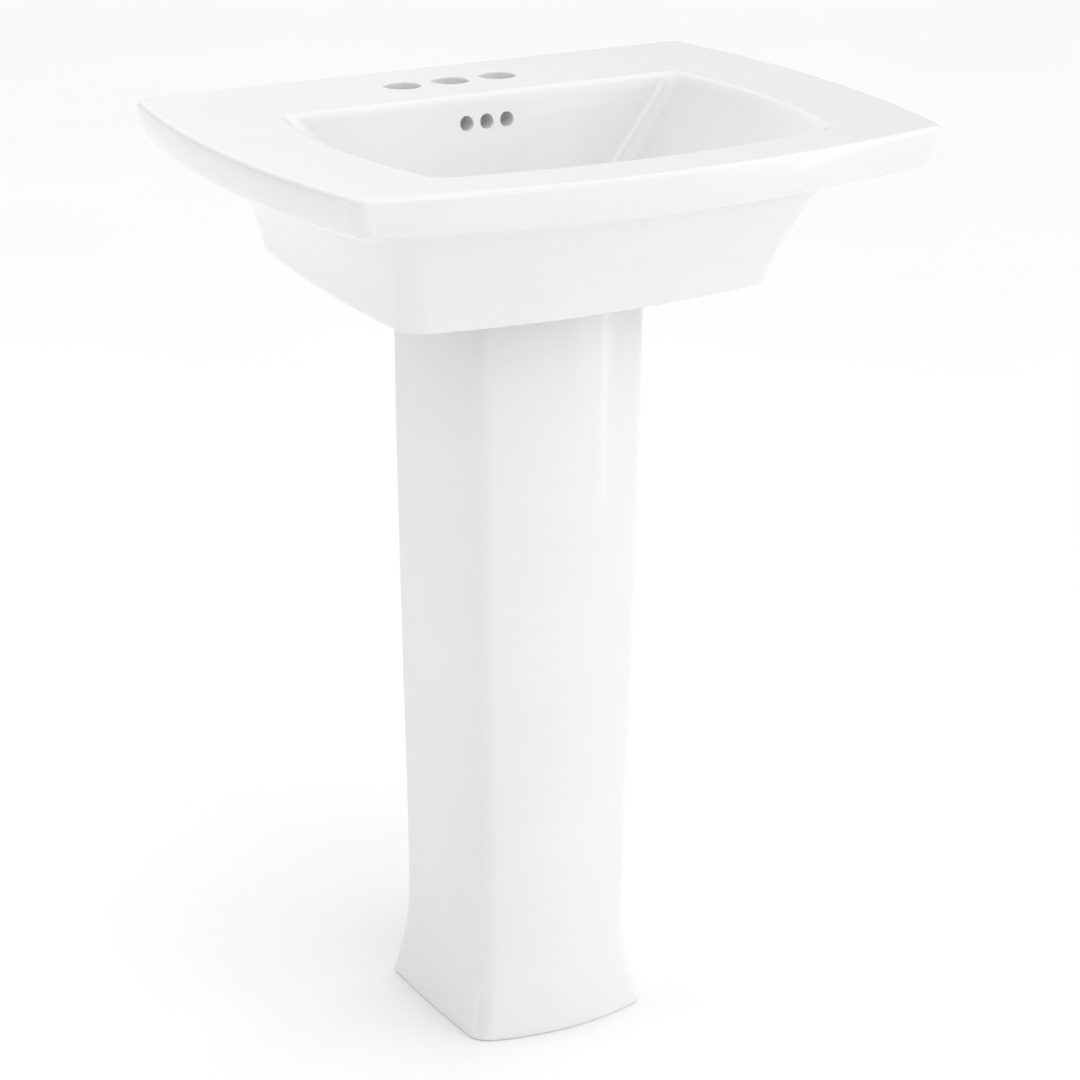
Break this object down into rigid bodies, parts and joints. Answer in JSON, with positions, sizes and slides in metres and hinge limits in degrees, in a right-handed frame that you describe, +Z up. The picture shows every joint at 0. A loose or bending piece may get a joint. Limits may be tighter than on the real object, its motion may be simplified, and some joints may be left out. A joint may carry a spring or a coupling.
{
  "type": "pedestal sink",
  "caption": "White china pedestal sink with a wide flared rim, sloped rectangular bowl, tapered open-back pedestal, push-to-close drain and trap.",
  "frame": {"origin": "on the floor, under the centre of the whole object's box", "axes": "+Z up from the floor, +X to the right of a person facing the sink, -Y towards that person, +Y towards the wall"},
  "size_m": [0.632, 0.498, 0.8985],
  "materials": {
    "china": "gloss white glaze",
    "chrome": "polished",
    "brass": "machined",
    "rubber": "matt",
    "nylon": "natural",
    "spring_steel": "drawn wire"
  },
  "bodies": {
    "sink": {"basin": "china", "pedestal": "china", "drain_flange": "chrome", "flange_gasket": "rubber", "drain_body": "brass", "drain_gasket": "rubber", "drain_washer": "nylon", "drain_locknut": "brass", "stopper_cartridge": "brass", "stopper_spring": "spring_steel", "tailpiece": "chrome", "trap_inlet_nut": "chrome", "trap_inlet_washer": "nylon", "trap_bend": "chrome", "trap_outlet_nut": "chrome", "trap_outlet_washer": "nylon", "trap_arm": "chrome"},
    "stopper": {"stopper_cap": "chrome", "stopper_seal": "rubber", "stopper_stem": "brass"}
  },
  "joints": [
    {"name": "stopper_slide", "type": "slide", "parent": "sink", "child": "stopper", "axis": [0, 0, 1], "range_m": [-0.009, 0], "stiffness_N_per_m": 300, "springref_m": 0.01, "deforming": ["stopper_spring"]}
  ]
}
